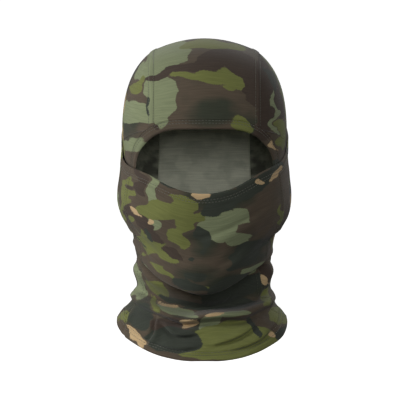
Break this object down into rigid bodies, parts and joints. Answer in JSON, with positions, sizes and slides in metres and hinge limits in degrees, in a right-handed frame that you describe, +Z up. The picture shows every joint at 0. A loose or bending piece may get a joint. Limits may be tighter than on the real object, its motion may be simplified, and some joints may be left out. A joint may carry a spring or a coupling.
{
  "type": "balaclava face mask",
  "caption": "Hooded balaclava of printed stretch cloth in its worn shape: hood, eye opening, pull-down nose and mouth cover, and a neck that flares over the shoulders.",
  "frame": {"origin": "the middle of the wearer's head: on the mid-plane, halfway between the two temples and level with them", "axes": "+Z up, the wearer looks along -Y, +X to the wearer's left"},
  "size_m": [0.168, 0.2159, 0.3002],
  "materials": {
    "camo_cloth": "matt knitted stretch cloth printed with a leaf-green, sage, brown and tan woodland-style pattern, plain grey-green on the inside",
    "hem_cloth": "the same printed cloth, folded double and sewn down",
    "seam_thread": "matt dark olive polyester thread"
  },
  "bodies": {
    "hood": {"crown_strip": "camo_cloth", "left_hood_side": "camo_cloth", "right_hood_side": "camo_cloth", "face_opening_hem": "hem_cloth", "left_neck_side": "camo_cloth", "left_neck_side_hem": "hem_cloth", "right_neck_side": "camo_cloth", "right_neck_side_hem": "hem_cloth", "chest_panel": "camo_cloth", "bottom_hem": "hem_cloth", "left_crown_seam": "seam_thread", "right_crown_seam": "seam_thread", "left_cheek_seam": "seam_thread", "right_cheek_seam": "seam_thread", "face_opening_stitch_outer": "seam_thread", "face_opening_stitch_inner": "seam_thread", "left_neck_side_stitch_outer": "seam_thread", "left_neck_side_stitch_inner": "seam_thread", "right_neck_side_stitch_outer": "seam_thread", "right_neck_side_stitch_inner": "seam_thread", "bottom_stitch_outer": "seam_thread", "bottom_stitch_inner": "seam_thread"},
    "cover": {"face_cover": "camo_cloth", "face_cover_hem": "hem_cloth", "face_cover_stitch_outer": "seam_thread", "face_cover_stitch_inner": "seam_thread"}
  },
  "joints": [
    {"name": "cover_pull_down", "type": "slide", "parent": "hood", "child": "cover", "axis": [0, 0, -1], "range_m": [0, 0.06]}
  ]
}
